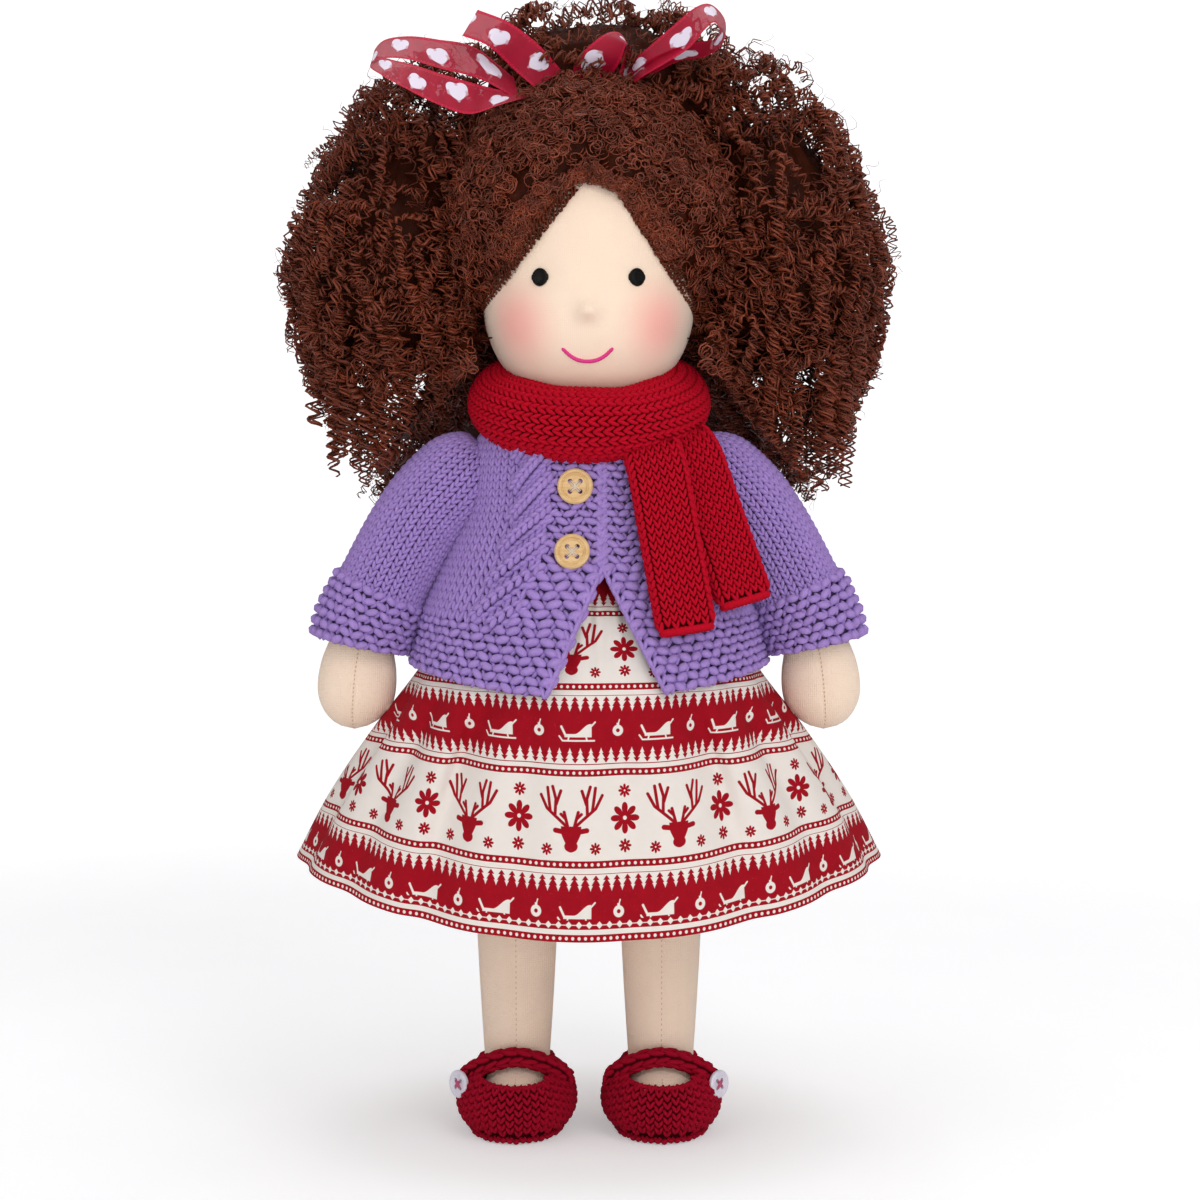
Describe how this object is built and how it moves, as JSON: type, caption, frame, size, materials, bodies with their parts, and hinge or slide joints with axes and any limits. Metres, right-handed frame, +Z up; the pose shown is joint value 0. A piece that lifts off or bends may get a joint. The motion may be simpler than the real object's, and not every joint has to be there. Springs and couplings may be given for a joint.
{
  "type": "waldorf doll",
  "caption": "Standing stuffed cloth doll with curly yarn hair, knitted cardigan, printed skirt, scarf and crocheted shoes; head, arms and legs turn, scarf tails swing.",
  "frame": {"origin": "centre of the bounding box's base, on the floor under the soles", "axes": "+Z up, the doll faces -Y, +X is the doll's own left"},
  "size_m": [0.22, 0.1696, 0.4],
  "materials": {
    "skin_jersey": "fine cotton jersey, matt",
    "wool_stuffing": "carded wool",
    "sewing_thread": "spun thread",
    "skirt_cotton": "printed cotton, red and cream",
    "lilac_knit": "hand-knitted lilac yarn",
    "scarf_knit": "knitted crimson yarn",
    "hair_yarn": "curly brown mohair yarn",
    "ribbon_organza": "sheer burgundy ribbon with printed hearts",
    "shoe_crochet": "crocheted dark red yarn",
    "button_wood": "sanded pale wood, satin",
    "button_white": "pearly white",
    "eye_black": "black, smooth",
    "mouth_pink": "pink embroidery thread"
  },
  "bodies": {
    "torso": {"torso_skin": "skin_jersey", "torso_stuffing": "wool_stuffing", "neck_tie": "sewing_thread", "dress_bodice": "skirt_cotton", "skirt": "skirt_cotton", "cardigan_body": "lilac_knit", "wood_button_upper": "button_wood", "wood_button_thread_upper": "sewing_thread", "wood_button_lower": "button_wood", "wood_button_thread_lower": "sewing_thread", "scarf_loop": "scarf_knit"},
    "head": {"head_skin": "skin_jersey", "head_core": "wool_stuffing", "eye_right": "eye_black", "eye_left": "eye_black", "mouth_thread": "mouth_pink", "hair_cap": "hair_yarn", "hair_puff_right": "hair_yarn", "hair_puff_left": "hair_yarn", "hair_crown": "hair_yarn", "hair_back": "hair_yarn", "hair_ribbon": "ribbon_organza"},
    "scarf_tails": {"scarf_tail_front": "scarf_knit", "scarf_tail_rear": "scarf_knit"},
    "arm_right": {"arm_skin_right": "skin_jersey", "arm_stuffing_right": "wool_stuffing", "sleeve_right": "lilac_knit"},
    "arm_left": {"arm_skin_left": "skin_jersey", "arm_stuffing_left": "wool_stuffing", "sleeve_left": "lilac_knit"},
    "leg_right": {"leg_skin_right": "skin_jersey", "leg_stuffing_right": "wool_stuffing", "shoe_sole_right": "shoe_crochet", "shoe_upper_right": "shoe_crochet", "shoe_strap_right": "shoe_crochet", "shoe_button_right": "button_white", "shoe_button_thread_right": "sewing_thread"},
    "leg_left": {"leg_skin_left": "skin_jersey", "leg_stuffing_left": "wool_stuffing", "shoe_sole_left": "shoe_crochet", "shoe_upper_left": "shoe_crochet", "shoe_strap_left": "shoe_crochet", "shoe_button_left": "button_white", "shoe_button_thread_left": "sewing_thread"}
  },
  "joints": [
    {"name": "neck_turn", "type": "hinge", "parent": "torso", "child": "head", "pos_m": [0, 0, 0.2557], "axis": [0, 0, 1], "range_deg": [-35, 35]},
    {"name": "shoulder_right", "type": "hinge", "parent": "torso", "child": "arm_right", "pos_m": [-0.046, 0, 0.229], "axis": [-1, 0, 0], "range_deg": [-30, 50]},
    {"name": "shoulder_left", "type": "hinge", "parent": "torso", "child": "arm_left", "pos_m": [0.046, 0, 0.229], "axis": [-1, 0, 0], "range_deg": [-30, 25]},
    {"name": "hip_right", "type": "hinge", "parent": "torso", "child": "leg_right", "pos_m": [-0.0255, 0, 0.141], "axis": [-1, 0, 0], "range_deg": [-25, 40]},
    {"name": "hip_left", "type": "hinge", "parent": "torso", "child": "leg_left", "pos_m": [0.0255, 0, 0.141], "axis": [-1, 0, 0], "range_deg": [-25, 40]},
    {"name": "scarf_tails_swing", "type": "hinge", "parent": "torso", "child": "scarf_tails", "pos_m": [0, -0.034, 0.24], "axis": [-1, 0, 0], "range_deg": [0, 30]}
  ]
}
